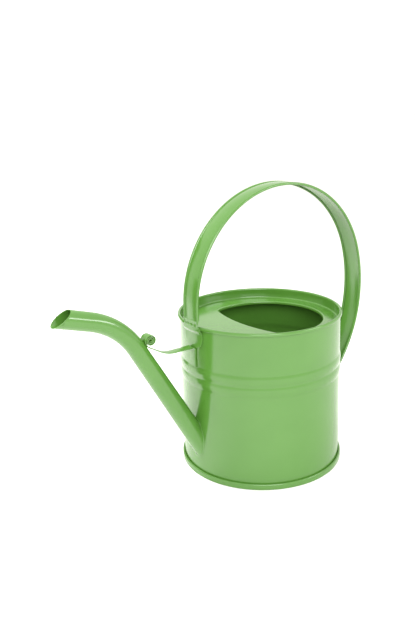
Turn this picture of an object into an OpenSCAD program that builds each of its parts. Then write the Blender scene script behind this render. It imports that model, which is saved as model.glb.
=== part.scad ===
// Painted sheet-steel watering can: a straight round can with two swaged beads, a recessed top
// plate with a D-shaped filler opening, a long bent spout held by a scrolled brace, and one hoop
// handle with rolled edges.
//
// Origin: centre of the underside, on the axis of the can. +X points along the spout, +Z is up,
// and the can is symmetric about the XZ plane apart from its side seam.

/* [Can] */
// Outside diameter of the plain wall
can_d = 150; // [120:1:190]
// Height from the floor to the top of the rim
can_h = 146; // [118:1:190]
// Thickness of the sheet that the can and the spout are made of
sheet_t = 0.6; // [0.4:0.1:1]
// Distance from the top of the rim down to the lowest edge of the two beads
bead_drop = 59; // [52:1:75]
// Height of one bead
bead_h = 10; // [6:0.5:11]
// How far a bead stands out of the wall
bead_out = 0.8; // [0.4:0.1:1.5]
// Width of the folded side seam
seam_w = 4.5; // [3:0.5:8]
// Direction of the side seam, counted from the spout
seam_angle = 205; // [150:1:215]

/* [Base] */
// Height of the seam that joins the base to the wall
foot_h = 5.5; // [4:0.5:8]
// How far that seam stands out of the wall
foot_out = 2.2; // [1.5:0.1:3]
// Height of the underside of the base plate above the floor
base_lift = 3; // [2:0.5:3.5]
// Radius of the ring pressed into the base plate
base_ring_r = 58; // [35:1:66]

/* [Top plate and filler opening] */
// Height of the rolled rim
rim_h = 3.2; // [2.5:0.1:5]
// How far the rim stands out of the wall
rim_out = 1.4; // [1:0.1:2.5]
// Depth of the top plate below the top of the rim
plate_depth = 10; // [6:0.5:16]
// Radius of the round side of the opening
fill_r = 53.5; // [40:0.5:54]
// Distance from the can's axis back to the centre of that round side
fill_back = 7.7; // [5:0.1:9]
// Distance from the can's axis forward to the middle of the bowed front edge
fill_front = 21.4; // [15:0.1:26]
// Radius of the bowed front edge
fill_front_r = 140; // [100:5:300]
// Radius of the two corners of the opening
fill_corner_r = 9.5; // [4:0.5:10]
// Depth of the lip turned down around the opening
fill_lip = 2.4; // [1.5:0.1:4]

/* [Spout] */
// Height above the floor where the spout's axis meets the wall
spout_z = 36.4; // [32:0.5:50]
// Rise of the straight part above level
spout_rise = 60.3; // [50:0.1:65]
// Distance from the top of the rim down to where the straight part's axis ends
spout_bend_drop = 9.4; // [5:0.1:10]
// Radius of the bend, to the axis
spout_bend_r = 68.4; // [50:0.5:90]
// Rise of the last straight part above level
tip_rise = 17; // [10:0.5:35]
// Length of the last straight part, along the axis to the middle of the mouth
tip_len = 25.3; // [15:0.5:40]
// Slope of the mouth below level, seen from the side
mouth_slope = 33.6; // [20:0.2:50]
// Outside radius at the wall
spout_root_r = 8.7; // [7.5:0.1:11]
// Outside radius from the bend to the mouth
spout_tip_r = 7.5; // [6:0.1:9]
// Width of the solder run around the spout's root
solder_w = 1.7; // [1:0.1:3]

/* [Handle] */
// Width of the strap
strap_w = 22.3; // [18:0.1:28]
// Thickness of the strap
strap_t = 0.8; // [0.6:0.1:1.2]
// Radius of the strap's rolled edges
roll_r = 1.4; // [1.1:0.1:2]
// Height above the rim where the hoop starts to bend
hoop_start = 14.3; // [8:0.1:30]
// Outside radius of the hoop over the can
hoop_r = 100.8; // [90:0.1:125]
// How far the strap turns at that radius
hoop_turn = 163.3; // [150:0.1:170]
// Height above the floor where the strap leaves the wall at the back
rear_foot_z = 40.5; // [38:0.5:55]
// Radius of the outward bend just above the back foot
kick_r = 12; // [8:1:16]
// Width of the flattened feet
foot_w = 27; // [23:0.5:32]
// Length of the front foot below the rim
front_foot_len = 20.6; // [16:0.1:21]
// Length of the back foot
rear_foot_len = 22; // [16:0.5:24]
// Radius of the corners of both feet
foot_corner_r = 9; // [5:0.5:11]

/* [Brace] */
// Width of the brace strip
brace_w = 8.5; // [6:0.1:12]
// Thickness of the brace strip
brace_t = 0.9; // [0.6:0.1:1.2]
// Gap between the leg that lies on the wall and the upper bead
leg_gap = 0.5; // [0.3:0.1:6]
// Inside radius of the bend where the strip leaves the wall
leg_bend_r = 2; // [1:0.5:3]
// Radius of the first upward bend
brace_bend_r = 30; // [20:1:40]
// Slope of the strip before it meets the spout
brace_slope = 30; // [22:1:34]
// Length of that sloping part
slope_len = 11.9; // [6:0.1:16]
// Radius of the bend that lays the strip along the spout
brace_lay_r = 8; // [4:0.5:12]
// Outside radius of the scroll's first half turn
scroll_r = 5.2; // [5:0.1:7]
// How much each further half turn of the scroll shrinks
scroll_step = 0.7; // [0.7:0.05:0.8]

/* [Fits] */
// Gap between sheets that lie on each other
lay_gap = 0.15; // [0.1:0.05:0.3]
// Gap between the strap and the rim it passes
rim_gap = 0.25; // [0.2:0.05:0.5]
// Diameter of one spot weld
weld_d = 4; // [3:0.5:5]

/* [Hidden] */
$fn = 96;

can_r = can_d / 2;
inner_r = can_r - sheet_t;
rim_r = can_r + rim_out;
foot_r = can_r + foot_out;
plate_z = can_h - plate_depth;
bead_z = can_h - bead_drop;
spout_len = (can_h - spout_bend_drop - spout_z) / sin(spout_rise);
far = 3 * can_d;                      // longer than any piece that it cuts
past = 1;                             // how far a cut runs past the solid that it opens

paint = "#86bb66";
paint_dark = "#6fa84e";

// ---- Bent strips: shared by the handle and the brace -------------------------------------
//
// A strip's run is a list of steps. [0, length] is straight. [radius, angle] bends towards the
// strip's back, and [-radius, angle] bends towards its face. Each step starts at the origin and
// heads along +Z with the face towards +X. The first child is the strip's cross-section, with
// the face at x = 0, and the radius of a bend is the one of the face. The second child is a
// section a little thinner: a short core of it ties each step to the one before, across a
// hairline that keeps the two steps' end faces from coinciding. A run that is joined also ties
// its first step to what lies before it.

hairline = 0.02;
core_len = 0.3;
core_inset = 0.05;

module strip_step(step) {
    r = abs(step[0]);
    if (r == 0) {
        translate([0, 0, hairline]) linear_extrude(height = step[1] - hairline) children();
    } else {
        skipped = hairline / r * 180 / PI;
        translate([-step[0], 0, 0]) mirror([step[0] < 0 ? 1 : 0, 0, 0]) rotate([90, 0, 0])
            rotate_extrude(angle = step[1] - skipped, start = skipped)
                translate([r, 0]) mirror([step[0] < 0 ? 1 : 0, 0]) children();
    }
}

module after_step(step) {
    r = step[0];
    if (r == 0)
        translate([0, 0, step[1]]) children();
    else
        translate([-r, 0, 0]) rotate([0, -sign(r) * step[1], 0]) translate([r, 0, 0]) children();
}

module strip(steps, joined = false, i = 0) {
    if (i < len(steps)) {
        strip_step(steps[i]) children(0);
        if (joined)
            translate([0, 0, -core_len / 2]) linear_extrude(height = core_len) children(1);
        after_step(steps[i]) strip(steps, true, i + 1) {
            children(0);
            children(1);
        }
    }
}

module at_end(steps, i = 0) {
    if (i < len(steps))
        after_step(steps[i]) at_end(steps, i + 1) children();
    else
        children();
}

// A bar in section, from one corner to the other, with round corners
module round_bar(low, high, r) {
    size = high - low;
    translate(low + [r, 0]) square([size.x - 2 * r, size.y]);
    translate(low + [0, r]) square([size.x, size.y - 2 * r]);
    for (x = [low.x + r, high.x - r], y = [low.y + r, high.y - r])
        translate([x, y]) circle(r);
}

// ---- Can ---------------------------------------------------------------------------------

edge_r = 0.6;                         // round edges of the rim and of the base seam
base_ring_h = 1.5;

bead_r = (bead_out * bead_out + bead_h * bead_h / 4) / (2 * bead_out);
edge_gap = 2 * lay_gap;               // between the wall's edges and the folds that hold them
shell_low = sheet_t + edge_gap;
shell_high = can_h - sheet_t - edge_gap;
seam_gap = 1;                         // between the side seam's ends and the folds

// Half section of the can filled solid, with the wall's surface lowered by a distance
module wall_section(lowered = 0) {
    r = can_r - lowered;
    translate([0, shell_low]) square([r, shell_high - shell_low]);
    for (i = [0, 1])
        intersection() {
            translate([can_r + bead_out - bead_r, bead_z + (i + 0.5) * bead_h])
                circle(bead_r - lowered, $fn = 240);
            translate([0, bead_z + i * bead_h]) square([far, bead_h]);
        }
}

module wall_sheet(raised = 0) {
    difference() {
        wall_section(-raised);
        wall_section(sheet_t);
    }
}

module body_shell() {
    seam_turn = seam_w / can_r * 180 / PI;
    color(paint) difference() {
        union() {
            rotate_extrude($fn = 180) wall_sheet();
            intersection() {
                rotate([0, 0, seam_angle]) rotate_extrude(angle = seam_turn) wall_sheet(sheet_t);
                translate([0, 0, foot_h + seam_gap])
                    cylinder(r = far, h = can_h - rim_h - foot_h - 2 * seam_gap);
            }
        }
        on_spout_axis() translate([0, 0, -spout_len / 2])
            cylinder(r = spout_root_r - sheet_t, h = spout_len);
    }
}

module base_plate() {
    leg_in = inner_r - lay_gap;
    leg_out = can_r + lay_gap;
    floor_top = base_lift + sheet_t;
    color(paint) rotate_extrude($fn = 180) {
        difference() {
            round_bar([leg_in - sheet_t, 0], [foot_r, foot_h], edge_r);
            // The slot that holds the wall's lower edge
            translate([leg_in, sheet_t]) square([leg_out - leg_in, foot_h]);
            // The inner leg stops at the floor
            translate([0, floor_top]) square([leg_in + lay_gap, foot_h]);
        }
        difference() {
            union() {
                translate([0, base_lift]) square([leg_in - sheet_t / 2, sheet_t]);
                translate([base_ring_r, base_lift]) circle(base_ring_h);
            }
            // The pressed ring is hollow underneath
            translate([base_ring_r, base_lift]) circle(base_ring_h - sheet_t);
            translate([0, -base_lift]) square([2 * base_ring_r, 2 * base_lift]);
        }
    }
}

// ---- Top plate ---------------------------------------------------------------------------

fill_arc = [-fill_back, 0];                        // centre of the round side
fill_bow = [fill_front - fill_front_r, 0];         // centre of the bowed front edge

// Centre of a corner: as far from both edges' centres as their radii allow
corner_a = fill_r - fill_corner_r;
corner_b = fill_front_r - fill_corner_r;
centre_gap = fill_arc.x - fill_bow.x;
corner_x = (corner_b * corner_b - corner_a * corner_a - centre_gap * centre_gap)
    / (2 * centre_gap);
fill_corner = [fill_arc.x + corner_x, sqrt(corner_a * corner_a - corner_x * corner_x)];

// Outline of the opening, grown by a distance
module fill_outline(grow = 0) {
    difference() {
        intersection() {
            translate(fill_arc) circle(fill_r + grow, $fn = 240);
            translate(fill_bow) circle(fill_front_r + grow, $fn = 360);
        }
        for (side = [1, -1]) mirror([0, side > 0 ? 0 : 1]) difference() {
            corner_cut();
            translate(fill_corner) circle(fill_corner_r + grow);
        }
    }
}

// The part of the outline beyond a corner's centre, between its two tangent points
module corner_cut() {
    to_arc = (fill_corner - fill_arc) / norm(fill_corner - fill_arc);
    to_bow = (fill_corner - fill_bow) / norm(fill_corner - fill_bow);
    reach = 4 * fill_corner_r;
    polygon([fill_corner, fill_corner + reach * to_bow, fill_corner + reach * (to_bow + to_arc),
        fill_corner + reach * to_arc]);
}

module top_plate() {
    leg_in = inner_r - lay_gap;
    leg_out = can_r + lay_gap;
    under = plate_z - sheet_t;
    color(paint) {
        rotate_extrude($fn = 180) difference() {
            union() {
                round_bar([leg_in - sheet_t, can_h - rim_h], [rim_r, can_h], edge_r);
                translate([leg_in - sheet_t, under]) square([sheet_t, plate_depth]);
            }
            // The slot that holds the wall's upper edge
            translate([leg_in, can_h - rim_h - past])
                square([leg_out - leg_in, rim_h + past - sheet_t]);
        }
        translate([0, 0, under]) linear_extrude(height = sheet_t) difference() {
            circle(leg_in - sheet_t / 2, $fn = 180);
            fill_outline();
        }
        translate([0, 0, plate_z - fill_lip]) linear_extrude(height = fill_lip) difference() {
            fill_outline(sheet_t);
            fill_outline();
        }
    }
}

// ---- Spout -------------------------------------------------------------------------------

// Puts the children on the spout's axis where it meets the wall, with +Z along the spout
module on_spout_axis() {
    translate([can_r, 0, spout_z]) rotate([0, 90 - spout_rise, 0]) children();
}

// The straight part as a solid cone, thinner than the outside by a distance. It starts inside
// the can, far enough for its whole end to be cut off by the wall.
module spout_cone(thinner = 0) {
    root = 3 * spout_root_r;
    taper = (spout_root_r - spout_tip_r) / spout_len;
    on_spout_axis() translate([0, 0, -root])
        cylinder(r1 = spout_root_r + taper * root - thinner, r2 = spout_tip_r - thinner,
            h = root + spout_len);
}

// Section of the tube from the bend on: the wall loses a distance on both sides
module tube_section(thinner = 0) {
    difference() {
        circle(spout_tip_r - thinner);
        circle(spout_tip_r - sheet_t + thinner);
    }
}

tip_steps = [[-spout_bend_r, spout_rise - tip_rise], [0, tip_len]];

module spout_tube() {
    mouth_turn = tip_rise + mouth_slope;
    color(paint) difference() {
        union() {
            difference() {
                spout_cone();
                spout_cone(sheet_t);
                cylinder(r = can_r + lay_gap, h = can_h, $fn = 180);
            }
            on_spout_axis() translate([0, 0, spout_len])
                strip(concat(tip_steps, [[0, tip_len]]), joined = true) {
                    tube_section();
                    tube_section(core_inset);
                }
        }
        on_spout_axis() translate([0, 0, spout_len]) at_end(tip_steps)
            rotate([0, mouth_turn - 90, 0]) translate([-far / 2, -far / 2, 0])
                cube([far, far, far]);
    }
}

// The run of solder in the corner between the spout's root and the wall
module spout_solder() {
    solder_out = 0.6 * solder_w;      // the run is flatter than it is wide
    color(paint) difference() {
        intersection() {
            difference() {
                cylinder(r = can_r + lay_gap + solder_out, h = can_h, $fn = 180);
                translate([0, 0, -past])
                    cylinder(r = can_r + lay_gap / 2, h = can_h + 2 * past, $fn = 180);
            }
            on_spout_axis() translate([0, 0, -3 * spout_root_r])
                cylinder(r = spout_root_r + solder_w, h = 7 * spout_root_r);
        }
        spout_cone(-lay_gap / 2);
    }
}

// ---- Handle ------------------------------------------------------------------------------

strap_x = rim_r + rim_gap + strap_t;               // face of the strap at the front
foot_face = can_r + lay_gap + strap_t;             // face of a foot
rear_x = foot_face + lay_gap;                      // face of the strap at the back
roll_gap = 0.6;                                    // between the rim and the rolled edges' ends
strap_low = can_h + roll_gap;                      // where the rolled edges start
foot_lap = 2.4;                                    // how far the feet run on inside the strap
kick_tail = 4;                                     // straight end of the strap over the back foot
step_gap = 0.6;                                    // between the rim and the front foot's step
step_h = 2;
step_high = can_h - rim_h - step_gap;
step_low = step_high - step_h;

// The hoop's first arc ends here, heading along arc_dir turned by 90 degrees
arc_dir = [cos(hoop_turn), sin(hoop_turn)];
arc_end = [strap_x - hoop_r, can_h + hoop_start] + hoop_r * arc_dir;

// The second arc has the radius that brings the strap to the back foot
kick_centre = [-rear_x - kick_r, rear_foot_z];
to_kick = kick_centre - arc_end;
rear_r = (to_kick * to_kick - kick_r * kick_r) / (2 * (kick_r - to_kick * arc_dir));
rear_centre = arc_end - rear_r * arc_dir;
rear_end = 360 + atan2(kick_centre.y - rear_centre.y, kick_centre.x - rear_centre.x);
rear_turn = rear_end - hoop_turn;
kick_turn = rear_end - 180;

hoop_steps = [
    [0, can_h + hoop_start - strap_low],
    [hoop_r, hoop_turn],
    [rear_r, rear_turn],
];

// Sections of the strap: flat, and with its edges rolled. Both lose a distance all round.
module strap_flat(thinner = 0) {
    translate([-strap_t + thinner, -strap_w / 2 + thinner])
        square([strap_t - 2 * thinner, strap_w - 2 * thinner]);
}

module strap_section(thinner = 0) {
    strap_flat(thinner);
    for (side = [1, -1])
        translate([-roll_r, side * (strap_w / 2 - roll_r)]) circle(roll_r - thinner, $fn = 48);
}

// Outline of a foot that hangs down: its top edge is at y = 0
module foot_outline(length) {
    flat = foot_w / 2 - foot_corner_r;
    for (side = [1, -1])
        translate([side * flat, -length + foot_corner_r]) circle(foot_corner_r);
    translate([-flat, -length]) square([2 * flat, length]);
    translate([-foot_w / 2, -length + foot_corner_r]) square([foot_w, length - foot_corner_r]);
}

// Stands an outline up in the plane of Y and Z and gives it depth along +X
module stand_up() {
    rotate([90, 0, 90]) linear_extrude(height = far) children();
}

// The front foot lies on the wall, steps out over the rim and meets the strap above it
module front_foot() {
    over = rim_r + rim_gap - lay_gap - (can_r + lay_gap);
    in_r = can_r + lay_gap;
    low = can_h - front_foot_len;
    high = strap_low + foot_lap;
    intersection() {
        rotate_extrude($fn = 180) polygon([
            [in_r, low - past], [in_r + strap_t, low - past], [in_r + strap_t, step_low],
            [in_r + strap_t + over, step_high], [in_r + strap_t + over, high],
            [in_r + over, high], [in_r + over, step_high], [in_r, step_low]]);
        stand_up() {
            translate([0, step_low]) foot_outline(step_low - low);
            polygon([[-foot_w / 2, step_low], [foot_w / 2, step_low],
                [strap_w / 2, strap_low], [strap_w / 2, high],
                [-strap_w / 2, high], [-strap_w / 2, strap_low]]);
        }
    }
}

module rear_foot() {
    in_r = can_r + lay_gap;
    rotate([0, 0, 180]) intersection() {
        difference() {
            cylinder(r = foot_face, h = can_h, $fn = 180);
            translate([0, 0, -past]) cylinder(r = in_r, h = can_h + 2 * past, $fn = 180);
        }
        stand_up() translate([0, rear_foot_z + foot_lap])
            foot_outline(rear_foot_len + foot_lap);
    }
}

module handle_strap() {
    color(paint) {
        front_foot();
        translate([strap_x, 0, strap_low]) {
            strip(hoop_steps) {
                strap_section();
                strap_section(core_inset);
            }
            at_end(hoop_steps) strip([[-kick_r, kick_turn], [0, kick_tail]], joined = true) {
                strap_flat();
                strap_flat(core_inset);
            }
        }
        rear_foot();
    }
}

// A spot weld fills the gap between two sheets that lie on the wall, at a height and a turn
// from the spout
module wall_weld(turn, z) {
    intersection() {
        rotate([0, 0, turn]) translate([0, 0, z]) rotate([0, 90, 0]) cylinder(d = weld_d, h = far);
        difference() {
            cylinder(r = can_r + lay_gap, h = can_h, $fn = 180);
            translate([0, 0, -past]) cylinder(r = can_r, h = can_h + 2 * past, $fn = 180);
        }
    }
}

weld_turn = asin((foot_w / 2 - foot_corner_r / 2) / can_r);

module handle_front_welds() {
    z = step_low - weld_d;
    color(paint_dark) for (turn = [-weld_turn, 0, weld_turn]) wall_weld(turn, z);
}

module handle_rear_welds() {
    z = rear_foot_z - rear_foot_len + foot_corner_r;
    color(paint_dark) for (turn = [-weld_turn, 0, weld_turn]) wall_weld(180 + turn, z);
}

// ---- Brace -------------------------------------------------------------------------------

under_foot = 0.8;                                  // how far the leg's bend tucks under the foot
leg_x = can_r + lay_gap + brace_t;                 // face of the leg
leg_top = can_h - front_foot_len - brace_t - leg_bend_r + under_foot;
leg_len = leg_top - (bead_z + 2 * bead_h + leg_gap);

// The spout's upper side, as a line in the XZ plane
spout_dir = [cos(spout_rise), sin(spout_rise)];
spout_up = [-sin(spout_rise), cos(spout_rise)];
spout_back = [can_r, spout_z] + (spout_tip_r + lay_gap) * spout_up + spout_len * spout_dir;

// The slope's line meets the spout's line here, so the level part is as long as that needs
lay_len = 1;                                       // where the strip lies flat on the spout
lay_turn = spout_rise - brace_slope;
slope_reach = slope_len + brace_lay_r * tan(lay_turn / 2);
slope_low = leg_top + leg_bend_r + brace_bend_r * (1 - cos(brace_slope));
lay_z = slope_low + slope_reach * sin(brace_slope);
lay_x = spout_back.x + (lay_z - spout_back.y) / tan(spout_rise);
brace_level = lay_x - slope_reach * cos(brace_slope) - brace_bend_r * sin(brace_slope)
    - leg_bend_r - leg_x;

brace_run = [
    [0, leg_len],
    [-leg_bend_r, 90],
    [0, brace_level],
    [brace_bend_r, brace_slope],
    [0, slope_len],
    [brace_lay_r, lay_turn],
    [0, lay_len],
];
scroll_turns = [for (i = [0:3]) [scroll_r - i * scroll_step, i < 3 ? 180 : 140]];

module brace_section(thinner = 0) {
    translate([-brace_t + thinner, -brace_w / 2 + thinner])
        square([brace_t - 2 * thinner, brace_w - 2 * thinner]);
}

module brace_strap() {
    color(paint) translate([leg_x, 0, leg_top - leg_len])
        strip(concat(brace_run, scroll_turns)) {
            brace_section();
            brace_section(core_inset);
        }
}

module brace_leg_weld() {
    color(paint_dark) wall_weld(0, leg_top - leg_len / 2);
}

// Puts the children on the face of the strip where it starts to lie along the spout
module at_spout() {
    translate([leg_x, 0, leg_top - leg_len]) at_end([for (i = [0:5]) brace_run[i]]) children();
}

// A weld between the strip and the spout, cut to the spout's round. It is longer than the flat
// stretch, because the strip leaves the spout slowly on both sides.
module brace_scroll_weld() {
    size = [8 * lay_gap, brace_w - 2, 3.5 * lay_len];
    color(paint_dark) difference() {
        at_spout() translate([0, -size.y / 2, -lay_len]) cube(size);
        spout_cone(-hairline);
    }
}

body_shell();
base_plate();
top_plate();
spout_tube();
spout_solder();
handle_strap();
handle_front_welds();
handle_rear_welds();
brace_strap();
brace_leg_weld();
brace_scroll_weld();
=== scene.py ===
# %% [markdown]
# # An enamelled steel watering can
# This notebook builds the looks of a small sheet-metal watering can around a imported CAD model.
# Everything is in metres, in the CAD model's own frame: the origin is the centre of the
# underside, +X runs along the spout and +Z is up. The CAD model says where each piece lies, and
# Blender makes the folded, rolled and painted sheet that the eye expects.

# %% Load the frame
import math

import bmesh
import bpy
from mathutils import Matrix, Vector


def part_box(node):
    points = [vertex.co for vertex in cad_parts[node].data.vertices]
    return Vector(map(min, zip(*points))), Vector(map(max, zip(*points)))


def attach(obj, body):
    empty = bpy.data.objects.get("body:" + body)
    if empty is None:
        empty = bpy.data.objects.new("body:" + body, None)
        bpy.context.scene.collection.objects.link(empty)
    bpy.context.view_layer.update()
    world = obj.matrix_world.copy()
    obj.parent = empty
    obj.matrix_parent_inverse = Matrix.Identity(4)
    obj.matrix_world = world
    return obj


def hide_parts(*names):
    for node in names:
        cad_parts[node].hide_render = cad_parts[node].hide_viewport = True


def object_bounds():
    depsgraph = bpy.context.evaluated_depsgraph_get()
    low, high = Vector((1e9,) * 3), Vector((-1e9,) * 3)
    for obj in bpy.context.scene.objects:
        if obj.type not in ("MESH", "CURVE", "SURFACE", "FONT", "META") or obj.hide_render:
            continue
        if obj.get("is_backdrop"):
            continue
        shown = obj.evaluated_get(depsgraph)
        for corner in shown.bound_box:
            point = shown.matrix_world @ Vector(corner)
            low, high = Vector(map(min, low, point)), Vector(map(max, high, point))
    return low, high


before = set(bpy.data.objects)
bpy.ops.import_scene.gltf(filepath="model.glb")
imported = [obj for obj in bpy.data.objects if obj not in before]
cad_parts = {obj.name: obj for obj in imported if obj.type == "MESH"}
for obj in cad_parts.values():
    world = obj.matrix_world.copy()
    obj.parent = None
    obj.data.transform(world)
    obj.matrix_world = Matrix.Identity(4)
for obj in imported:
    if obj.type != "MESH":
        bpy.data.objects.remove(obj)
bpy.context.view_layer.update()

# %% [markdown]
# ## Sizes
# A tinsmith works from a few dimensions. Those that the CAD model already holds are read from
# it, so the two can't drift apart. The rest are gaps, drops from the rim and the radii of bends
# and rolls, in millimetres.

# %% Driving sizes
MM = 0.001
Y_AXIS = Vector((0, 1, 0))

sheet = 0.6 * MM
lay_gap = 0.15 * MM        # between sheets that lie on each other
hug = 0.12 * MM            # between the wall and a fold that closes round it
rim_lap = 1.4 * MM         # how far the rolled rim stands out past the wall
bead_drop = 59 * MM        # from the rim down to the lower edge of the beads
plate_drop = 10 * MM       # from the rim down to the top plate

rim_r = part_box("top_plate")[1].x
can_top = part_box("top_plate")[1].z
can_r = rim_r - rim_lap
foot_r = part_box("base_plate")[1].x
foot_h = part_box("base_plate")[1].z
bead_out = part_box("body_shell")[1].x - can_r
bead_low = can_top - bead_drop
bead_h = 10 * MM
plate_z = can_top - plate_drop
print(f"can {2 * can_r / MM:.1f} mm across, {can_top / MM:.1f} mm high")

# %% [markdown]
# ## Helpers
# Sheet metal is easy to describe as a line that is swept: round an axis for the can, along a
# run of straights and bends for the handle. `spin` does both, so one helper sweeps any section.

# %% Arcs and chains of vertices
def arc(centre, radius, start, end, steps):
    """Points on an arc in a plane, with its angles in degrees."""
    angles = [math.radians(start + (end - start) * i / steps) for i in range(steps + 1)]
    return [(centre[0] + radius * math.cos(a), centre[1] + radius * math.sin(a)) for a in angles]


def chain(bm, points, closed=False):
    """Vertices joined by edges, as the geometry that spin and extrude take."""
    verts = [bm.verts.new(p) for p in points]
    ends = verts[1:] + verts[:1] if closed else verts[1:]
    return verts + [bm.edges.new(pair) for pair in zip(verts, ends)]


def edges_of(geom):
    return [item for item in geom if isinstance(item, bmesh.types.BMEdge)]


def verts_of(geom):
    return [item for item in geom if isinstance(item, bmesh.types.BMVert)]


def smooth(t):
    """Eases from 0 to 1 with a level start and end."""
    t = min(1.0, max(0.0, t))
    return t * t * (3 - 2 * t)


# %% Turn a half section round the can's axis
AROUND = 192
MERGE = 0.001 * MM


def lathe(bm, points):
    """Spins a half section, given as (radius, height), one full turn about Z."""
    geom = chain(bm, [(r, 0, z) for r, z in points])
    bmesh.ops.spin(bm, geom=geom, cent=(0, 0, 0), axis=(0, 0, 1), angle=math.tau,
                   steps=AROUND, use_merge=True, use_duplicate=False)
    bmesh.ops.remove_doubles(bm, verts=bm.verts[:], dist=MERGE)


# %% Sweep a section along straights and bends
def sweep(bm, geom, start, heading, run, step_deg=2.0, stride=4 * MM):
    """Drags a section through the XZ plane. run is a list of (0, length) for a straight,
    (radius, degrees) for a bend to the left and (-radius, degrees) for one to the right.
    It returns the last section, where it is and where it heads."""
    here = Vector((start[0], 0, start[1]))
    for bend, amount in run:
        ahead = Vector((math.cos(heading), 0, math.sin(heading)))
        if bend == 0:
            steps = max(1, round(amount / stride))
            out = bmesh.ops.spin(bm, geom=geom, cent=here, axis=Y_AXIS, angle=0,
                                 dvec=ahead * amount / steps, steps=steps,
                                 use_duplicate=False)
            here = here + ahead * amount
        else:
            side = 1 if bend > 0 else -1
            centre = here + bend * Vector((-ahead.z, 0, ahead.x))
            angle = math.radians(amount)
            out = bmesh.ops.spin(bm, geom=geom, cent=centre, axis=-side * Y_AXIS, angle=angle,
                                 steps=max(2, round(amount / step_deg)), use_duplicate=False)
            here = centre + Matrix.Rotation(-side * angle, 3, "Y") @ (here - centre)
            heading += side * angle
        geom = out["geom_last"]
    return geom, (here.x, here.z), heading


# %% Finish a piece
def thicken(bm, thickness):
    """Gives a skin its sheet thickness, on the side away from its normals."""
    bmesh.ops.recalc_face_normals(bm, faces=bm.faces[:])
    bmesh.ops.solidify(bm, geom=bm.faces[:], thickness=thickness)


def make_piece(name, bm, nodes, material, sharp_deg=40):
    """Turns a bmesh into a named object that rides on the can and stands for CAD nodes."""
    mesh = bpy.data.meshes.new(name)
    bm.to_mesh(mesh)
    bm.free()
    mesh.shade_smooth()
    mesh.set_sharp_from_angle(angle=math.radians(sharp_deg))
    mesh.materials.append(material)
    piece = bpy.data.objects.new(name, mesh)
    bpy.context.scene.collection.objects.link(piece)
    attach(piece, "root")
    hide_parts(*nodes)
    triangles = sum(len(p.vertices) - 2 for p in mesh.polygons)
    print(f"{name}: {triangles} triangles")


# %% [markdown]
# ## Paint
# The can is steel sheet under a sprayed and baked enamel. Enamel is a smooth dielectric, so it
# reflects a little white light over a saturated colour. Sprayed paint dries with a faint orange
# peel, with bumps a couple of millimetres apart, and the sheet under it is never quite flat,
# which makes long reflections waver.

# %% Colour and node helpers
def linear(hex_colour):
    """An sRGB hex colour as linear values with an alpha of 1."""
    values = [int(hex_colour[i:i + 2], 16) / 255 for i in (1, 3, 5)]
    low = [v / 12.92 if v <= 0.04045 else ((v + 0.055) / 1.055) ** 2.4 for v in values]
    return (*low, 1.0)


def add_node(tree, kind, settings=None, links=None):
    """Adds one node. settings are its own properties or its input sockets' values, and links
    are the output sockets that feed its inputs."""
    node = tree.nodes.new(kind)
    for key, value in (settings or {}).items():
        if hasattr(node, key):
            setattr(node, key, value)
        else:
            node.inputs[key].default_value = value
    for key, source in (links or {}).items():
        tree.links.new(source, node.inputs[key])
    return node


# %% Enamel on steel sheet
ENAMEL_IOR = 1.65      # enamel is about 1.5, and this coat mirrors a little more strongly
CLOUD = 45 * MM        # width of the patches where the colour is a little deeper
GLOSS = 12 * MM        # width of the patches where the gloss is a little duller
WAVE = 38 * MM         # distance between the shallow waves of the sheet


def baked_enamel(name, colour, shade, peel_mm=1.8, peel_depth=0.003, wave_depth=0.05,
                 roughness=0.16):
    """Glossy baked enamel. colour and shade are the two ends of its faint unevenness, and both
    depths are in millimetres."""
    material = bpy.data.materials.new(name)
    material.use_nodes = True
    tree = material.node_tree
    tree.nodes.clear()
    place = add_node(tree, "ShaderNodeTexCoord")
    at = place.outputs["Object"]
    # A noise of scale s has features about 1 / s metres wide
    cloud = add_node(tree, "ShaderNodeTexNoise", {"Scale": 1 / CLOUD, "Detail": 3.0},
                     {"Vector": at})
    ramp = add_node(tree, "ShaderNodeValToRGB", links={"Fac": cloud.outputs["Fac"]})
    ramp.color_ramp.elements[0].position = 0.35
    ramp.color_ramp.elements[0].color = linear(shade)
    ramp.color_ramp.elements[1].position = 0.65
    ramp.color_ramp.elements[1].color = linear(colour)
    gloss_noise = add_node(tree, "ShaderNodeTexNoise", {"Scale": 1 / GLOSS, "Detail": 4.0},
                           {"Vector": at})
    gloss = add_node(tree, "ShaderNodeMapRange",
                     {"To Min": roughness * 0.85, "To Max": roughness * 1.25},
                     {"Value": gloss_noise.outputs["Fac"]})
    peel = add_node(tree, "ShaderNodeTexNoise",
                    {"Scale": 1 / (peel_mm * MM), "Detail": 1.0, "Roughness": 0.4},
                    {"Vector": at})
    wave = add_node(tree, "ShaderNodeTexNoise", {"Scale": 1 / WAVE, "Detail": 1.0},
                    {"Vector": at})
    sheet_bump = add_node(tree, "ShaderNodeBump",
                          {"Strength": 1.0, "Distance": wave_depth * MM},
                          {"Height": wave.outputs["Fac"]})
    peel_bump = add_node(tree, "ShaderNodeBump",
                         {"Strength": 1.0, "Distance": peel_depth * MM},
                         {"Height": peel.outputs["Fac"], "Normal": sheet_bump.outputs["Normal"]})
    shader = add_node(tree, "ShaderNodeBsdfPrincipled", {"IOR": ENAMEL_IOR},
                      {"Base Color": ramp.outputs["Color"], "Roughness": gloss.outputs["Result"],
                       "Normal": peel_bump.outputs["Normal"]})
    add_node(tree, "ShaderNodeOutputMaterial", links={"Surface": shader.outputs["BSDF"]})
    return material


LEAF = "#4c7b2f"
LEAF_SHADE = "#48772b"

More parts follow.
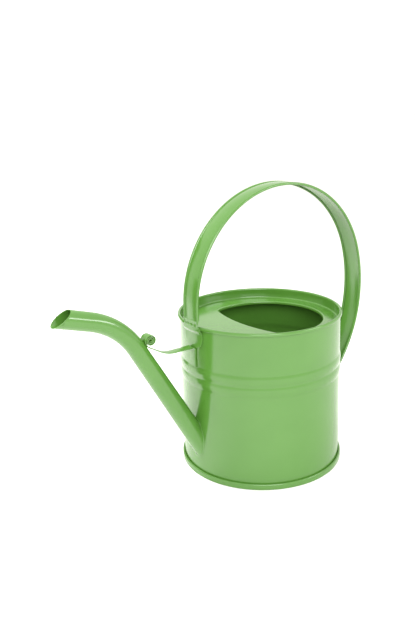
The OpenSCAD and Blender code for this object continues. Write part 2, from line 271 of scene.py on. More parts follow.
wall_enamel = baked_enamel("baked enamel on body sheet", LEAF, LEAF_SHADE)
base_enamel = baked_enamel("baked enamel on base sheet", LEAF, LEAF_SHADE)
top_enamel = baked_enamel("baked enamel on top sheet", LEAF, LEAF_SHADE, wave_depth=0.03)
spout_enamel = baked_enamel("baked enamel on spout tube", LEAF, LEAF_SHADE, wave_depth=0.02)
strap_enamel = baked_enamel("baked enamel on handle strap", LEAF, LEAF_SHADE, wave_depth=0.03)
brace_enamel = baked_enamel("baked enamel on brace strip", LEAF, LEAF_SHADE, wave_depth=0.01)
# Solder is wiped on by hand, so the enamel over it is lumpy
solder_enamel = baked_enamel("enamel over wiped solder", LEAF, LEAF_SHADE, peel_mm=2.5,
                             peel_depth=0.05, wave_depth=0.0)


# %% Bare steel for the hidden spot welds
WELD_SCALE = 0.8 * MM      # width of the spots where heat has tinted the metal


def spot_weld_steel():
    """Weld metal squeezed between two sheets: grey, blued by heat and slightly rough."""
    material = bpy.data.materials.new("spot weld steel")
    material.use_nodes = True
    tree = material.node_tree
    tree.nodes.clear()
    place = add_node(tree, "ShaderNodeTexCoord")
    scale = add_node(tree, "ShaderNodeTexNoise", {"Scale": 1 / WELD_SCALE, "Detail": 2.0},
                     {"Vector": place.outputs["Object"]})
    tint = add_node(tree, "ShaderNodeValToRGB", links={"Fac": scale.outputs["Fac"]})
    tint.color_ramp.elements[0].color = linear("#5c5f66")
    tint.color_ramp.elements[1].color = linear("#8d8f90")
    shader = add_node(tree, "ShaderNodeBsdfPrincipled", {"Metallic": 1.0, "Roughness": 0.45},
                      {"Base Color": tint.outputs["Color"]})
    add_node(tree, "ShaderNodeOutputMaterial", links={"Surface": shader.outputs["BSDF"]})
    return material


weld_steel = spot_weld_steel()
for node in ("handle_front_welds", "handle_rear_welds", "brace_leg_weld"):
    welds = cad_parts[node].data.materials
    welds.clear()
    welds.append(weld_steel)
print("materials:", len(bpy.data.materials))

# %% [markdown]
# ## Body wall
# The wall is one sheet rolled into a cylinder. Two swaged beads stiffen it: each is a shallow
# outward swell, pressed between rollers, so its edges are soft. A half section with the beads in
# it is spun round the axis, and the skin then gets the thickness of the sheet.

# %% Half section of the wall
SOFT = 0.9 * MM      # how far the rollers round off the edge of a bead


def bead_swell(z):
    """How far the wall stands out at a height: two shallow arcs, one above the other."""
    t = (z - bead_low) / bead_h
    if not 0 <= t <= 2:
        return 0.0
    across = 2 * (t % 1.0) - 1
    return bead_out * (1 - across * across)


def wall_radius(z):
    """The swell averaged over the soft edge, as the rollers leave it."""
    reach = [SOFT * i / 3 for i in range(-3, 4)]
    return can_r + sum(bead_swell(z + dz) for dz in reach) / len(reach)


def even_heights(low, high, steps):
    """Heights at even steps from low up to, but not with, high."""
    return [low + (high - low) * i / steps for i in range(steps)]


wall_low = 1.2 * MM
wall_high = can_top - 1.1 * MM
clear = 3 * MM       # the fine steps start this far outside the beads
fine_low = bead_low - clear
fine_high = bead_low + 2 * bead_h + clear
heights = even_heights(wall_low, fine_low, 20)
heights += even_heights(fine_low, fine_high, 60)
heights += even_heights(fine_high, wall_high, 12) + [wall_high]
wall_section = [(wall_radius(z), z) for z in heights]
print("wall section:", len(wall_section), "points")

# %% Spin the wall
bm = bmesh.new()
lathe(bm, wall_section)
thicken(bm, sheet)
make_piece("body_wall", bm, ["body_shell"], wall_enamel)

# %% [markdown]
# ## Side seam
# The ends of the rolled sheet are hooked together and flattened at the back of the can. What is
# left to see is a band a few millimetres wide that stands proud of the wall by one sheet. The
# same section, spun through a few degrees, gives it the wall's own beads.

# %% Spin the seam band
seam_start = math.radians(205)
seam_w = 4.5 * MM
seam_low = foot_h + 1 * MM
seam_high = can_top - 4.2 * MM
seam_sink = 0.2 * MM       # how deep the band's inner side lies in the wall
seam_soft = 0.35 * MM      # radius of its long edges

bm = bmesh.new()
seam_heights = [z for z in heights if seam_low < z < seam_high]
outer = [(wall_radius(z) + sheet, z) for z in seam_heights]
inner = [(wall_radius(z) - seam_sink, z) for z in reversed(seam_heights)]
geom = chain(bm, [(r, 0, z) for r, z in outer + inner], closed=True)
bm.faces.new(verts_of(geom))
bmesh.ops.rotate(bm, verts=verts_of(geom), cent=(0, 0, 0),
                 matrix=Matrix.Rotation(seam_start, 3, "Z"))
out = bmesh.ops.spin(bm, geom=geom, cent=(0, 0, 0), axis=(0, 0, 1), angle=seam_w / can_r,
                     steps=6, use_duplicate=False)
bm.faces.new(verts_of(out["geom_last"]))
bmesh.ops.recalc_face_normals(bm, faces=bm.faces[:])
long_edges = [e for e in bm.edges if abs(e.calc_face_angle(0)) > math.radians(60)
              and all(math.hypot(v.co.x, v.co.y) > can_r + sheet / 2 for v in e.verts)]
bmesh.ops.bevel(bm, geom=long_edges, offset=seam_soft, segments=3, profile=0.5,
                affect="EDGES", material=-1)
make_piece("side_seam", bm, ["body_shell"], wall_enamel)

# %% [markdown]
# ## Base
# The base is a pressed disc whose edge is folded round the foot of the wall. The fold is what the
# can stands on, and its round top edge catches a line of light all the way round. The floor of
# the can sits a little higher, with one ring pressed into it for stiffness.

# %% Closed half section of the base, spun
fold_top = (foot_r - can_r) / 2
fold_low = 0.7 * MM
lift = 3 * MM
ring_r = 58 * MM
ring_h = 1.5 * MM
leg_r = can_r - sheet - lay_gap
skirt_r = leg_r - sheet
hub_r = 0.02 * MM          # a pinhole at the axis, closed with one face after the spin
slot_low = 0.9 * MM        # the bottom of the slot that the wall stands in

underside = [(hub_r, lift), (ring_r - 3 * ring_h, lift)]
underside += arc((ring_r, lift), ring_h - sheet, 180, 0, 12)
underside += [(ring_r + 3 * ring_h, lift), (skirt_r - 2 * sheet, lift)]
underside += arc((skirt_r - sheet, lift - sheet), sheet, 90, 0, 5)
fold = arc((skirt_r + fold_low, fold_low), fold_low, 180, 270, 6)
fold += arc((foot_r - fold_low, fold_low), fold_low, 270, 360, 8)
fold += arc((foot_r - fold_top, foot_h - fold_top), fold_top, 0, 150, 14)
fold += [(can_r + hug, foot_h - fold_top), (can_r + hug, slot_low), (leg_r, slot_low),
         (leg_r, lift + sheet)]
floor = [(skirt_r - 2 * sheet, lift + sheet), (ring_r + 3 * ring_h, lift + sheet)]
floor += arc((ring_r, lift), ring_h, 24, 156, 14)
floor += [(ring_r - 3 * ring_h, lift + sheet), (hub_r, lift + sheet)]

bm = bmesh.new()
lathe(bm, underside + fold + floor)
for height in (lift, lift + sheet):
    hub = [e for e in bm.edges if e.is_boundary and abs(e.verts[0].co.z - height) < 0.1 * sheet]
    bmesh.ops.holes_fill(bm, edges=hub, sides=0)
bmesh.ops.recalc_face_normals(bm, faces=bm.faces[:])
make_piece("base_pan", bm, ["base_plate"], base_enamel, sharp_deg=50)

# %% [markdown]
# ## Top plate
# One pressing closes the top: a flat plate set below the rim, a flange that rises from it, and a
# rim that is rolled outward over the edge of the wall. The filler opening is a D. Its raw edge is
# folded down, so what shows is a rounded lip and not a cut edge. The lower edge of that lip is
# drawn as one loop of edges, and the loop is extruded outward again and again: over the lip,
# across the flat, up the flange and over the rim. Each new loop has a vertex for each old one, so
# no face can end up across the hole.

# %% The opening's outline
fill_r, fill_back = 53.5 * MM, 7.7 * MM
bow_r, bow_front = 140 * MM, 21.4 * MM
nook_r = 9.5 * MM

round_centre = Vector((-fill_back, 0))
bow_centre = Vector((bow_front - bow_r, 0))
apart = round_centre.x - bow_centre.x
nook_x = ((bow_r - nook_r) ** 2 - (fill_r - nook_r) ** 2 - apart ** 2) / (2 * apart)
nook_y = math.sqrt((fill_r - nook_r) ** 2 - nook_x ** 2)
nook_centre = round_centre + Vector((nook_x, nook_y))
to_round = math.degrees(math.atan2(nook_y, nook_x))
to_bow = math.degrees(math.atan2(nook_centre.y, nook_centre.x - bow_centre.x))


def opening(grow, z):
    """The D at a height, grown by a distance, as points in order round the opening."""
    # The D's other corner is the same one, mirrored
    low_nook = (nook_centre.x, -nook_centre.y)
    line = arc(bow_centre, bow_r + grow, -to_bow, to_bow, 110)
    line += arc(nook_centre, nook_r + grow, to_bow, to_round, 18)[1:]
    line += arc(round_centre, fill_r + grow, to_round, 360 - to_round, 130)[1:]
    line += arc(low_nook, nook_r + grow, 360 - to_round, 360 - to_bow, 18)[1:-1]
    return [(x, y, z) for x, y in line]


print("opening:", len(opening(0, 0)), "points, corner at", [round(v / MM, 1) for v in nook_centre])

# %% The lip, the flat, the flange and the rolled rim
plate_t = 0.5 * MM
LIP_R = 0.9 * MM           # outside radius of the lip
lip_drop = 2.4 * MM
lip_flat = 1.2 * MM        # a narrow flat that keeps the shading of the lip off the plate
FLANGE_BEND = 1.6 * MM     # inside radius where the plate turns up into the flange
flange_r = skirt_r
roll_r = (rim_r - flange_r) / 2
rim_drop = 3.2 * MM
curl_r = 0.8 * MM
under_roll = 1 * MM        # the flange is straight up to this far below the rim's roll

loops = [opening(0, plate_z - lip_drop), opening(0, plate_z - LIP_R)]
for a in (22, 45, 68, 90):
    s, c = math.sin(math.radians(a)), math.cos(math.radians(a))
    loops.append(opening(LIP_R * (1 - c), plate_z - LIP_R * (1 - s)))
loops.append(opening(LIP_R + lip_flat, plate_z))
flange = [(flange_r - 2.2 * FLANGE_BEND, plate_z)]
flange += arc((flange_r - FLANGE_BEND, plate_z + FLANGE_BEND), FLANGE_BEND, -90, 0, 8)
flange += [(flange_r, plate_z + 2.5 * FLANGE_BEND), (flange_r, can_top - roll_r - under_roll)]
flange += arc((flange_r + roll_r, can_top - roll_r), roll_r, 180, 0, 16)
flange += arc((rim_r - curl_r, can_top - rim_drop + curl_r), curl_r, 0, -90, 6)
flange += [(can_r + hug, can_top - rim_drop)]
for radius, height in flange:
    rays = [Vector(point[:2]).normalized() * radius for point in loops[-1]]
    loops.append([(ray.x, ray.y, height) for ray in rays])
print("top plate:", len(loops), "loops")

# %% Extrude the plate outward, loop by loop
bm = bmesh.new()
lip_edge = chain(bm, loops[0], closed=True)
ring = edges_of(lip_edge)
place = {vert: i for i, vert in enumerate(verts_of(lip_edge))}
for points in loops[1:]:
    out = bmesh.ops.extrude_edge_only(bm, edges=ring)["geom"]
    fresh = set(verts_of(out))
    ring = [edge for edge in edges_of(out) if fresh.issuperset(edge.verts)]
    for vert in fresh:
        below = [edge.other_vert(vert) for edge in vert.link_edges]
        place[vert] = next(place[old] for old in below if old not in fresh)
        vert.co = points[place[vert]]
thicken(bm, plate_t)
make_piece("top_pan", bm, ["top_plate"], top_enamel)

# %% [markdown]
# ## Spout
# The spout is a slightly tapered tube with one bend and a slanting mouth. It is a ring that is
# swept along the tube's axis. The root is then slid down to the wall, so that it fits the round
# can exactly, and the mouth is cut with one plane.

# %% Sweep the tube
spout_z = 36.4 * MM
spout_rise = math.radians(60.3)
spout_bend_drop = 9.4 * MM     # from the rim down to the start of the bend
spout_bend_r = 68.4 * MM
spout_len = (can_top - spout_bend_drop - spout_z) / math.sin(spout_rise)
root_r, tip_r = 8.7 * MM, 7.5 * MM
tip_rise = math.radians(17)
tip_len = 25.3 * MM
mouth_slope = math.radians(33.6)
mouth_soft = 0.22 * MM         # radius of the mouth's two edges
root = Vector((can_r, 0, spout_z))
along = Vector((math.cos(spout_rise), 0, math.sin(spout_rise)))
SIDES = 72


def ring_at(bm, centre, direction, radius):
    """A loop of edges square to a direction in the XZ plane."""
    turn = Matrix.Rotation(math.atan2(direction.x, direction.z), 4, "Y")
    made = bmesh.ops.create_circle(bm, cap_ends=False, segments=SIDES, radius=radius,
                                   matrix=Matrix.Translation(centre) @ turn)
    return made["verts"] + list({e for v in made["verts"] for e in v.link_edges})


def drop_on_wall(point, direction, radius):
    """Slides a point along a direction until it lies on a cylinder about the can's axis."""
    a = direction.x ** 2 + direction.y ** 2
    b = point.x * direction.x + point.y * direction.y
    c = point.x ** 2 + point.y ** 2 - radius ** 2
    return point + direction * (-b + math.sqrt(b * b - a * c)) / a


first_loop = 24 * MM       # no loop lies lower, so sliding the root down can't fold the tube

bm = bmesh.new()
foot_ring = ring_at(bm, root, along, root_r)
root_verts = verts_of(foot_ring)
neck, at, heading = sweep(bm, foot_ring, (root.x, root.z), spout_rise, [(0, first_loop)],
                          stride=first_loop)
neck, at, heading = sweep(bm, neck, at, heading, [(0, spout_len - first_loop)])
for vert in bm.verts:
    up = (vert.co - root).dot(along)
    axis_point = root + along * up
    share = (root_r + (tip_r - root_r) * up / spout_len) / root_r
    vert.co = axis_point + (vert.co - axis_point) * share
for vert in root_verts:
    vert.co = drop_on_wall(vert.co, along, can_r + lay_gap)
neck, at, heading = sweep(bm, neck, at, heading,
                          [(-spout_bend_r, math.degrees(spout_rise - tip_rise)), (0, tip_len)])
mouth = Vector((at[0], 0, at[1]))
sweep(bm, neck, at, heading, [(0, tip_len)])
mouth_normal = Vector((math.sin(mouth_slope), 0, math.cos(mouth_slope)))
bmesh.ops.bisect_plane(bm, geom=bm.verts[:] + bm.edges[:] + bm.faces[:], plane_co=mouth,
                       plane_no=mouth_normal, clear_outer=True)
thicken(bm, sheet)
lip = [e for e in bm.edges if e.calc_face_angle(0) > math.radians(50)
       and e.verts[0].co.x > mouth.x - tip_len]
bmesh.ops.bevel(bm, geom=lip, offset=mouth_soft, segments=3, profile=0.5, affect="EDGES",
                material=-1)
make_piece("spout", bm, ["spout_tube"], spout_enamel)
print("mouth centre, mm:", [round(v / MM, 1) for v in mouth])

# %% [markdown]
# ## Solder
# The spout is soldered to the wall. The wiped solder leaves a thin hollow fillet all round the
# root. It is a tube of six loops: the corner, the edge on the wall, three in the hollow and the
# edge on the spout, each of them dropped on to the wall along the spout's own direction.

# %% Bridge the fillet's loops
fillet = 1.7 * MM
at_wall = can_r + 0.1 * MM


def solder_loop(bm, grow, lift_off):
    """A ring round the spout that is grown, dropped on the wall and raised along the spout."""
    geom = ring_at(bm, root, along, root_r + grow)
    for vert in verts_of(geom):
        vert.co = drop_on_wall(vert.co, along, at_wall) + along * lift_off
    return edges_of(geom)


# Each loop's growth and lift. The first and the last reach a hair into the tube
solder_steps = [(-0.2 * MM, 0), (fillet, 0), (0.62 * fillet, 0.10 * fillet),
                (0.35 * fillet, 0.32 * fillet), (0.14 * fillet, 0.75 * fillet),
                (-0.02 * MM, 1.3 * fillet)]

bm = bmesh.new()
solder_rings = [solder_loop(bm, grow, lift_off) for grow, lift_off in solder_steps]
for low, high in zip(solder_rings, solder_rings[1:] + solder_rings[:1]):
    bmesh.ops.bridge_loops(bm, edges=low + high)
bmesh.ops.recalc_face_normals(bm, faces=bm.faces[:])
make_piece("solder", bm, ["spout_solder"], solder_enamel, sharp_deg=60)

# %% [markdown]
# ## Handle
# The handle is one long strap. Both of its edges are curled inward, which stiffens it and gives
# the hand something round to hold. The web between the curls dips beside each curl and is crowned
# in the middle. The section is swept along the hoop, and its last loops at both ends are squeezed
# flatter, as the press crimps the curls where the strap turns into a foot.

# %% Section of the strap
strap_w = 22.3 * MM
strap_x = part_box("handle_strap")[1].x
curl = 1.3 * MM            # radius of a rolled edge
groove = 0.8 * MM          # how far the web dips just inside a rolled edge
crown = 0.75 * MM          # how far the middle of the web comes up again
strap_sheet = 0.5 * MM
curl_stop = 250            # degrees round the curl where its edge ends, clear of the web
curl_y = strap_w / 2 - curl
meet_deg = math.degrees(math.acos(1 - groove / curl))
web_half = curl_y - curl * math.sin(math.radians(meet_deg))


def strap_section():
    """The strap's outer skin as (depth, width): a curl, the crowned web and the other curl."""
    right = arc((-curl, curl_y), curl, -meet_deg, curl_stop, 24)
    web = [(-groove + crown * (1 - (y / web_half) ** 2), y)
           for y in (web_half * i / 9 for i in range(-8, 9))]
    left = [(depth, -y) for depth, y in reversed(right)]
    return left + web + right


tongue_t = 0.8 * MM        # sheet of the two feet
hoop_low = can_top + 2.2 * MM
hoop_bend = can_top + 14.3 * MM
hoop_r, hoop_turn = 100.8 * MM, 163.3
kick_r = 12 * MM
rear_x = -(can_r + tongue_t + 2 * lay_gap)
rear_z = 40.5 * MM

hoop_end_dir = Vector((math.cos(math.radians(hoop_turn)), math.sin(math.radians(hoop_turn))))
hoop_end = Vector((strap_x - hoop_r, hoop_bend)) + hoop_r * hoop_end_dir
kick_centre = Vector((rear_x - kick_r, rear_z))
reach = kick_centre - hoop_end
back_r = (reach.dot(reach) - kick_r ** 2) / (2 * (kick_r - reach.dot(hoop_end_dir)))
back_centre = hoop_end - back_r * hoop_end_dir
back_end = 360 + math.degrees(math.atan2(kick_centre.y - back_centre.y,
                                         kick_centre.x - back_centre.x))
print(f"back of the hoop: radius {back_r / MM:.1f} mm, {back_end - hoop_turn:.1f} degrees")

# %% Sweep the hoop and crimp its ends
CRIMP = 5 * MM      # length over which the curls are squeezed
CRIMPED = 0.30      # share of their depth that is left at the very end


def crimp(verts, along_strap, face):
    """Squeezes the curls towards the strap's face near its end. along_strap gives a vertex's
    distance from the end, and face the plane of the web as a point and a normal."""
    point, normal = face
    for vert in verts:
        distance = along_strap(vert.co)
        if distance < CRIMP:
            keep = CRIMPED + (1 - CRIMPED) * smooth(distance / CRIMP)
            depth = (vert.co - point).dot(normal)
            vert.co += normal * depth * (keep - 1)


bm = bmesh.new()
geom = chain(bm, [(strap_x + depth, y, hoop_low) for depth, y in strap_section()])
geom, at, heading = sweep(bm, geom, (strap_x, hoop_low), math.pi / 2,
                          [(0, CRIMP / 5)] * 5 + [(0, hoop_bend - hoop_low - CRIMP),
                                                  (hoop_r, hoop_turn)])
geom, at, heading = sweep(bm, geom, at, heading, [(back_r, back_end - hoop_turn)],
                          step_deg=1.5)
hoop_stop = Vector((at[0], 0, at[1]))
stop_dir = Vector((math.cos(heading), 0, math.sin(heading)))
stop_out = Vector((math.sin(heading), 0, -math.cos(heading)))
front = [v for v in bm.verts if v.co.x > 0 and v.co.z < hoop_low + CRIMP]
crimp(front, lambda co: co.z - hoop_low, (Vector((strap_x, 0, 0)), Vector((1, 0, 0))))
rear = [v for v in bm.verts if v.co.x < 0 and v.co.z < hoop_stop.z + CRIMP]
crimp(rear, lambda co: (hoop_stop - co).dot(stop_dir), (hoop_stop, stop_out))
thicken(bm, strap_sheet)
make_piece("handle_hoop", bm, ["handle_strap"], strap_enamel)

# %% [markdown]
# ## Feet of the handle
# Past the crimp the strap is hammered out into a wide tongue. In front it steps over the rim and
# then lies on the round wall. At the back it bends out of the hoop and points down. A grid is
# draped over that path: each row has its own place, its own width and its own share of the
# wall's roundness.

# %% Drape a foot
foot_half = 13.5 * MM
corner = 9 * MM
tip_half = 1 * MM          # half the width of a foot's very last row
foot_soft = 0.2 * MM       # radius of a foot's edges


def half_width(below, length):
    """Half the width of a foot at a distance below its shoulder, with round corners."""
    left = length - below
    if left >= corner:
        return foot_half
    drop = corner - max(0.0, left)
    return foot_half - corner + math.sqrt(max(0.0, corner ** 2 - drop ** 2))


def drape(name, rows, side, dents=()):
    """A foot from rows of (place out from the axis, height, half width, wrap). wrap is 0 for a
    flat row and 1 for one that follows the wall. side is 1 in front and -1 at the back. A dent
    is its place across, its height, its depth and its radius."""
    bm = bmesh.new()
    columns = 24
    made = bmesh.ops.create_grid(bm, x_segments=columns, y_segments=len(rows) - 1, size=1)
    for vert in made["verts"]:
        row = rows[round((1 - vert.co.y) / 2 * (len(rows) - 1))]
        out_x, z, half, wrap = row
        y = vert.co.x * half
        sag = out_x - math.sqrt(out_x ** 2 - y * y)
        x = out_x - wrap * sag
        for dent_y, dent_z, depth, radius in dents:
            near = ((y - dent_y) ** 2 + (z - dent_z) ** 2) / radius ** 2
            x -= depth * math.exp(-near)
        vert.co = (side * x, y, z)
    bmesh.ops.recalc_face_normals(bm, faces=bm.faces[:])
    outward = sum((f.normal.x * side * f.calc_area() for f in bm.faces), 0.0)
    if outward < 0:
        bmesh.ops.reverse_faces(bm, faces=bm.faces[:])
    bmesh.ops.solidify(bm, geom=bm.faces[:], thickness=tongue_t)
    rim = [e for e in bm.edges if e.calc_face_angle(0) > math.radians(50)]
    bmesh.ops.bevel(bm, geom=rim, offset=foot_soft, segments=2, profile=0.5, affect="EDGES",
                    material=-1)
    make_piece(name, bm, ["handle_strap"], strap_enamel)


# %% Front foot
on_wall = can_r + lay_gap + tongue_t
front_high = hoop_low + 3 * MM
front_low = can_top - 20.6 * MM
step_high = can_top - 3.8 * MM
step_low = can_top - 7.2 * MM
shoulder = can_top - 5.5 * MM
spread_high = hoop_low + 0.5 * MM
FRONT_STEPS = 56

front_rows = []
for i in range(FRONT_STEPS + 1):
    z = front_high + (front_low - front_high) * i / FRONT_STEPS
    in_step = smooth((step_high - z) / (step_high - step_low))
    out_x = strap_x + (on_wall - strap_x) * in_step
    spread = smooth((spread_high - z) / (hoop_low - shoulder))
    half = curl_y + (foot_half - curl_y) * spread
    half = min(half, half_width(shoulder - z, shoulder - front_low) if z < shoulder else half)
    wrap = smooth((front_high - z) / (front_high - step_high))
    front_rows.append((out_x, z, max(half, tip_half), wrap))

# The crimping press leaves a row of shallow dents, not quite evenly spaced
dent_z, dent_depth, dent_r = hoop_low - 0.6 * MM, 0.55 * MM, 1.4 * MM
dents = [(y * MM, dent_z, dent_depth, dent_r) for y in (-8.5, -3.2, 2.4, 7.6)]
drape("handle_front_foot", front_rows, 1, dents)

# %% Rear foot
kick_turn = back_end - 180
rear_low = 18.5 * MM
KICK_STEPS = 16
TONGUE_STEPS = 32

rear_rows = []
for i in range(KICK_STEPS + 1):
    a = math.radians(kick_turn * (1 - i / KICK_STEPS))
    x = -kick_centre.x - kick_r * math.cos(a)
    z = kick_centre.y + kick_r * math.sin(a)
    spread = smooth(i / KICK_STEPS)
    rear_rows.append((x, z, curl_y + (foot_half - curl_y) * spread, spread))
for i in range(1, TONGUE_STEPS + 1):
    z = rear_z + (rear_low - rear_z) * i / TONGUE_STEPS
    half = half_width(rear_z - z, rear_z - rear_low)
    rear_rows.append((-rear_x, z, max(half, tip_half), 1.0))
drape("handle_rear_foot", rear_rows, -1)

# %% [markdown]
# ## Brace
# A narrow strip ties the spout to the wall. It leaves the wall at a right angle, dips and rises
# to the spout, and ends in a decorative scroll. Its section is a thin bar with soft edges, and
# the scroll is six half turns, each a little tighter than the last.

# %% Run of the strip
brace_w, brace_t = 8.5 * MM, 0.9 * MM
leg_gap = 0.5 * MM
leg_bend = 2 * MM
rise_r, rise_deg = 30 * MM, 30
slope_len = 11.9 * MM
lay_r = 8 * MM
lay_len = 1 * MM           # straight stretch that lies on the spout before the scroll
tuck = 0.8 * MM            # the level part's top is this far above the front foot's end
leg_x = can_r + lay_gap + brace_t
leg_top = front_low - brace_t - leg_bend + tuck
leg_low = bead_low + 2 * bead_h + leg_gap

# The slope's line has to meet the spout's upper side, which sets the level part's length
rise = math.radians(rise_deg)
lay_deg = math.degrees(spout_rise) - rise_deg
reach = slope_len + lay_r * math.tan(math.radians(lay_deg) / 2)
lay_z = leg_top + leg_bend + rise_r * (1 - math.cos(rise)) + reach * math.sin(rise)
upper_side = root + along * spout_len + Vector((-along.z, 0, along.x)) * (tip_r + lay_gap)
lay_x = upper_side.x + (lay_z - upper_side.z) / math.tan(spout_rise)
level_len = lay_x - reach * math.cos(rise) - rise_r * math.sin(rise) - leg_bend - leg_x
print(f"brace: leg {(leg_top - leg_low) / MM:.1f} mm, level part {level_len / MM:.1f} mm")
scroll_r, scroll_step, half_turns = 5.2 * MM, 0.7 * MM, 6
scroll = [(scroll_r - scroll_step * i, 180) for i in range(half_turns)]

# %% Sweep the strip
half_w, edge = brace_w / 2, 0.25 * MM
bar = []
for cx, cy, start in ((-edge, half_w - edge, 0), (-brace_t + edge, half_w - edge, 90),
                      (-brace_t + edge, -half_w + edge, 180), (-edge, -half_w + edge, 270)):
    bar += arc((cx, cy), edge, start, start + 90, 3)

bm = bmesh.new()
geom = chain(bm, [(leg_x + depth, y, leg_low) for depth, y in bar], closed=True)
bm.faces.new(verts_of(geom))
run = [(0, leg_top - leg_low), (-leg_bend, 90), (0, level_len), (rise_r, rise_deg),
       (0, slope_len), (lay_r, lay_deg), (0, lay_len)]
geom, lay_at, heading = sweep(bm, geom, (leg_x, leg_low), math.pi / 2, run, step_deg=5)
geom, at, heading = sweep(bm, geom, lay_at, heading, scroll, step_deg=7)
bm.faces.new(verts_of(geom))
bmesh.ops.recalc_face_normals(bm, faces=bm.faces[:])
make_piece("brace", bm, ["brace_strap"], brace_enamel)

# %% Solder bead between the strip and the spout
bead_half = (0.7 * MM, 3.4 * MM, 1.9 * MM)
bead_sink = 0.3 * MM       # how far the bead's middle lies towards the spout's axis
lay_point = Vector((lay_at[0], 0, lay_at[1]))
inward = Vector((along.z, 0, -along.x))

bm = bmesh.new()
made = bmesh.ops.create_uvsphere(bm, u_segments=24, v_segments=12, radius=1)
bmesh.ops.scale(bm, verts=made["verts"], vec=bead_half)
bmesh.ops.rotate(bm, verts=made["verts"], cent=(0, 0, 0),
                 matrix=Matrix.Rotation(math.pi / 2 - spout_rise, 3, "Y"))
bmesh.ops.translate(bm, verts=made["verts"],
                    vec=lay_point - along * lay_len + inward * bead_sink)
make_piece("brace_solder", bm, ["brace_scroll_weld"], solder_enamel)

# %% [markdown]
# ## Floor and camera
# The can stands on a plain white sweep of backdrop paper. The camera stands to the side of the
# spout, a little above the rim.

# %% Parts of the set
def matt(name, colour, roughness):
    """An even, matt surface for the set."""
    material = bpy.data.materials.new(name)
    material.use_nodes = True
    shader = material.node_tree.nodes["Principled BSDF"]
    shader.inputs["Base Color"].default_value = linear(colour)
    shader.inputs["Roughness"].default_value = roughness
    return material


def set_piece(name, bm, material):
    """Turns a bmesh into an object of the set, which is no part of the can."""
    mesh = bpy.data.meshes.new(name)
    bm.to_mesh(mesh)
    bm.free()
    mesh.materials.append(material)
    thing = bpy.data.objects.new(name, mesh)
    bpy.context.scene.collection.objects.link(thing)
    thing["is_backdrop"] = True
    return thing


# %% Floor
SWEEP_HALF = 20      # metres, so that its edge is past the horizon

bm = bmesh.new()
bmesh.ops.create_grid(bm, x_segments=1, y_segments=1, size=SWEEP_HALF)
set_piece("floor", bm, matt("matt white backdrop paper", "#f4f4f2", 0.9))

# %% Camera
eye = Vector((384.1, 474.1, 324.8)) * MM
swing, pitch, roll = 0.9693, 0.2872, -0.0351       # radians
SENSOR = 36
FRAME_H = 622        # the frame's height, in the units that the focal length is given in
FOCAL = 677.28

camera_data = bpy.data.cameras.new("camera")
camera_data.sensor_width = SENSOR
camera_data.lens = SENSOR * FOCAL / FRAME_H
camera = bpy.data.objects.new("camera", camera_data)
camera.matrix_world = (Matrix.Translation(eye)
                       @ Matrix.Rotation(math.pi / 2 + swing, 4, "Z")
                       @ Matrix.Rotation(math.pi / 2 - pitch, 4, "X")
                       @ Matrix.Rotation(roll, 4, "Z"))
bpy.context.scene.collection.objects.link(camera)
bpy.context.scene.camera = camera
print(f"camera lens {camera_data.lens:.1f} mm")

# %% [markdown]
# ## Light
# Glossy paint is lit by what it mirrors. The room is white all round, which lays a pale veil over
# the green. A soft box beside the camera lights the front of the can and the inside of its back
# wall, a low strip draws the bright line along the spout, and a box that points straight down
# brightens the floor on the left, which the wall then mirrors. Three black cards stand round the
# can, hidden from the camera and without a shadow. The gloss mirrors them as the dark stripes
# that make a cylinder look round.

# %% Soft boxes
CAN_MIDDLE = Vector((0.03, 0, 0.12))


def soft_light(name, azimuth, elevation, distance, width, height, watts, aim=CAN_MIDDLE):
    """A rectangular soft box, at a direction and a distance seen from the point it faces."""
    data = bpy.data.lights.new(name, "AREA")
    data.shape = "RECTANGLE"
    data.size, data.size_y = width, height
    data.energy = watts
    light = bpy.data.objects.new(name, data)
    a, e = math.radians(azimuth), math.radians(elevation)
    away = Vector((math.cos(a) * math.cos(e), math.sin(a) * math.cos(e), math.sin(e)))
    light.location = aim + away * distance
    light.rotation_euler = away.to_track_quat("Z", "Y").to_euler()
    light.visible_camera = False
    bpy.context.scene.collection.objects.link(light)
    return light


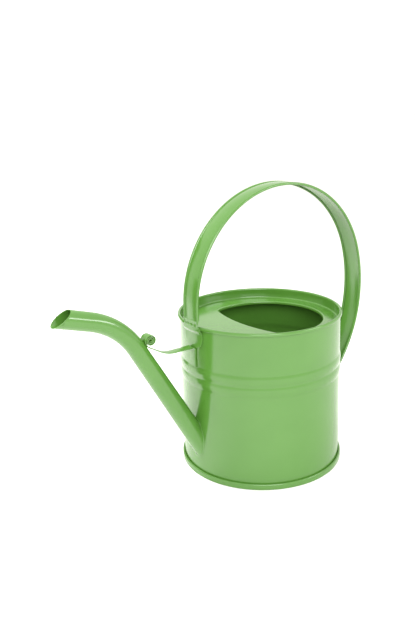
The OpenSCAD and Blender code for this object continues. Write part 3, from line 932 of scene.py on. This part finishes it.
CAMERA_AZIMUTH = 51
soft_light("front_box", CAMERA_AZIMUTH + 10, 30, 1.5, 1.0, 0.8, 17)
soft_light("side_strip", CAMERA_AZIMUTH + 77, 22, 1.2, 0.6, 0.18, 3.5)

floor_turn = Matrix.Rotation(math.radians(CAMERA_AZIMUTH - 108), 3, "Z")
left_floor = floor_turn @ Vector((0.42, 0, 0))
# Straight down but for a hair, so that the box keeps one clear way round
left_box = soft_light("left_box", 0, 89.9, 0.6, 0.4, 0.4, 5, aim=left_floor)
left_box.visible_glossy = False

# %% Black cards
black_card = matt("black flock card", "#161616", 0.95)


def dark_flag(name, azimuth, distance, width, height):
    """A black card that stands on the floor and faces the can."""
    bm = bmesh.new()
    made = bmesh.ops.create_grid(bm, x_segments=1, y_segments=1, size=0.5)
    bmesh.ops.scale(bm, verts=made["verts"], vec=(width, height, 1))
    bmesh.ops.rotate(bm, verts=made["verts"], cent=(0, 0, 0),
                     matrix=Matrix.Rotation(math.pi / 2, 3, "X"))
    bmesh.ops.rotate(bm, verts=made["verts"], cent=(0, 0, 0),
                     matrix=Matrix.Rotation(math.radians(azimuth + 90), 3, "Z"))
    a = math.radians(azimuth)
    bmesh.ops.translate(bm, verts=made["verts"],
                        vec=(distance * math.cos(a), distance * math.sin(a), height / 2))
    flag = set_piece(name, bm, black_card)
    flag.visible_camera = False
    flag.visible_diffuse = False
    flag.visible_shadow = False


dark_flag("left_flag", CAMERA_AZIMUTH - 78, 0.32, 0.10, 0.22)
dark_flag("side_flag", CAMERA_AZIMUTH - 119, 0.46, 0.13, 0.12)
dark_flag("back_flag", CAMERA_AZIMUTH - 131, 1.0, 0.62, 0.6)

# %% White room
world = bpy.data.worlds.new("white room")
bpy.context.scene.world = world
world.use_nodes = True
backdrop = world.node_tree.nodes["Background"]
backdrop.inputs["Color"].default_value = linear("#fffdf7")
backdrop.inputs["Strength"].default_value = 1.25
bpy.context.scene.view_settings.view_transform = "Standard"

# %% Measure the visual box and finish
low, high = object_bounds()
print("visual box, m:", [round(v, 4) for v in (*low, *high)])
